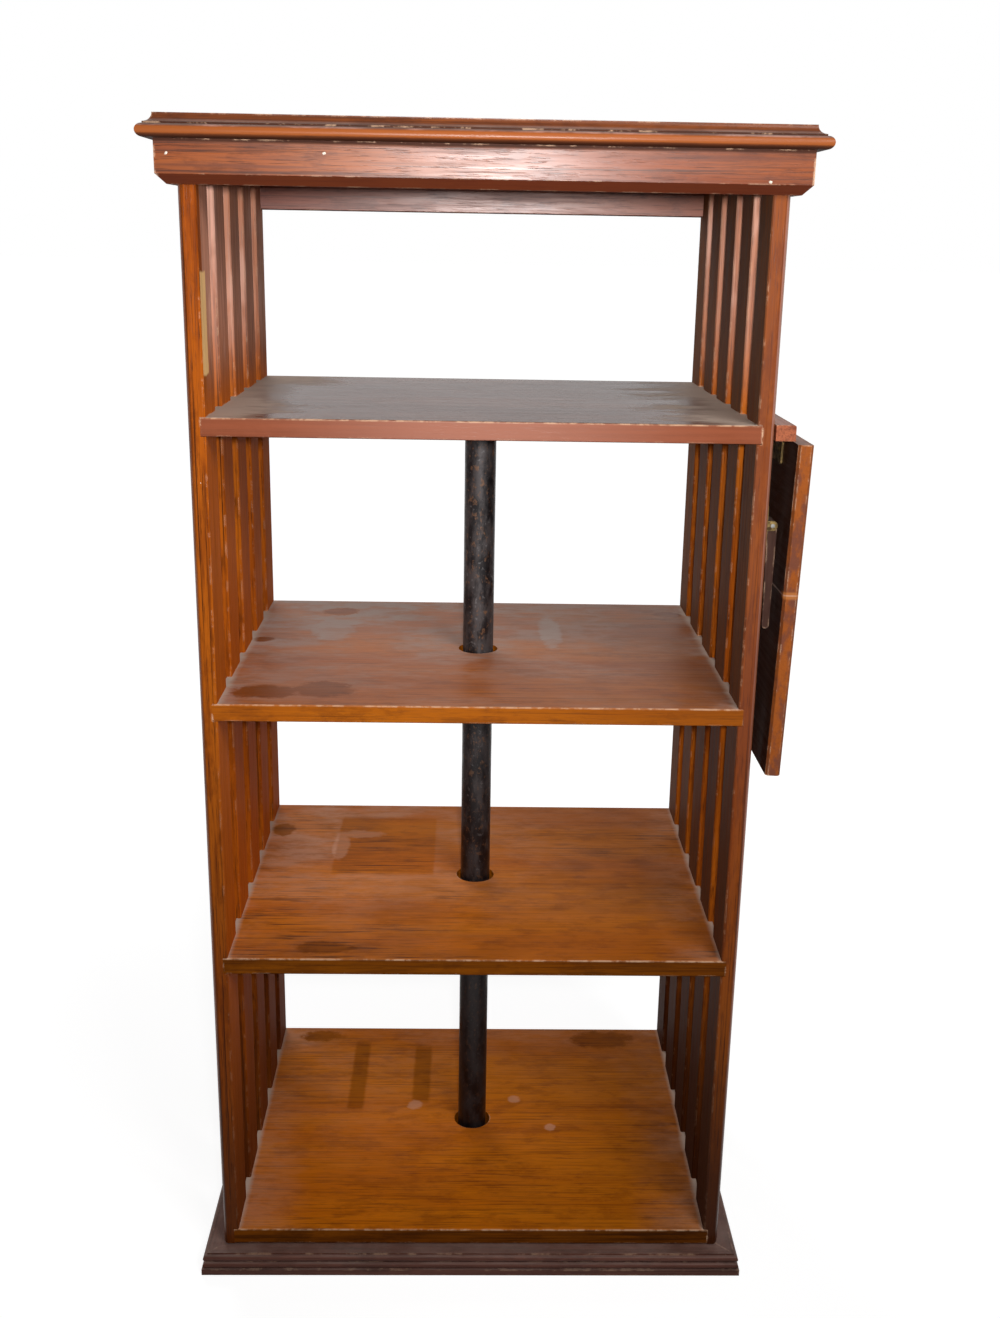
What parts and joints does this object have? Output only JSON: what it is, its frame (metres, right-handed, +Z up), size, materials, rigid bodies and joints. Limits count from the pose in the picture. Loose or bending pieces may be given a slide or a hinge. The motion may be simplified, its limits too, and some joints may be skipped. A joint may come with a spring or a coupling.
{
  "type": "revolving bookcase",
  "caption": "Revolving bookcase: open case with slatted sides and plain shelves that turns on a tube post above a moulded plinth, with a hinged drop leaf and props on one side.",
  "frame": {"origin": "on the floor, on the axis of the post about which the case turns", "axes": "+Z up, the open front faces -Y, the drop leaf is on the +X side"},
  "size_m": [0.6183, 0.4744, 1.2005],
  "materials": {
    "case_wood": "satin red-brown varnish, worn at the arrises",
    "shelf_wood": "satin orange-brown varnish under dust",
    "plinth_wood": "dull dark red-brown varnish, dusty",
    "leaf_wood": "satin red-brown varnish",
    "black_iron": "black oxide with light rust",
    "steel": "plain, dulled",
    "brass": "tarnished"
  },
  "bodies": {
    "base": {"plinth_panel": "plinth_wood", "plinth_front": "plinth_wood", "plinth_back": "plinth_wood", "plinth_left": "plinth_wood", "plinth_right": "plinth_wood", "floor_flange": "black_iron", "flange_screws": "steel", "post": "black_iron", "pivot_plug": "steel"},
    "case": {"left_front_stile": "case_wood", "left_slat_1": "case_wood", "left_slat_2": "case_wood", "left_slat_3": "case_wood", "left_back_stile": "case_wood", "right_front_stile": "case_wood", "right_slat_1": "case_wood", "right_slat_2": "case_wood", "right_slat_3": "case_wood", "right_back_stile": "case_wood", "bottom_board": "shelf_wood", "lower_shelf": "shelf_wood", "middle_shelf": "shelf_wood", "upper_shelf": "shelf_wood", "frieze_front": "case_wood", "frieze_back": "case_wood", "frieze_left": "case_wood", "frieze_right": "case_wood", "back_rail": "case_wood", "top_board": "case_wood", "pivot_socket": "black_iron", "socket_screws": "steel", "guide_plate": "black_iron", "guide_screws": "steel", "leaf_cleat": "leaf_wood", "cleat_screws": "steel", "hinge_cleat_plates": "brass", "hinge_cleat_screws": "brass", "hinge_pins": "brass", "prop_brackets": "brass", "bracket_screws": "steel", "prop_pins": "steel"},
    "leaf": {"leaf_upper_board": "leaf_wood", "leaf_lower_board": "leaf_wood", "hinge_leaf_plates": "brass", "hinge_leaf_screws": "brass"},
    "props": {"prop_arms": "leaf_wood"}
  },
  "joints": [
    {"name": "case_turn", "type": "hinge", "parent": "base", "child": "case", "pos_m": [0, 0, 0], "axis": [0, 0, 1], "continuous": true},
    {"name": "leaf_lift", "type": "hinge", "parent": "case", "child": "leaf", "pos_m": [0.2968, 0, 0.9185], "axis": [0, -1, 0], "range_deg": [0, 91.5]},
    {"name": "prop_swing", "type": "hinge", "parent": "case", "child": "props", "pos_m": [0.28415, 0, 0.836], "axis": [0, -1, 0], "range_deg": [0, 144]}
  ],
  "couplings": [
    {"joint": "prop_swing", "follows": "leaf_lift", "ratio": 1.5727}
  ]
}
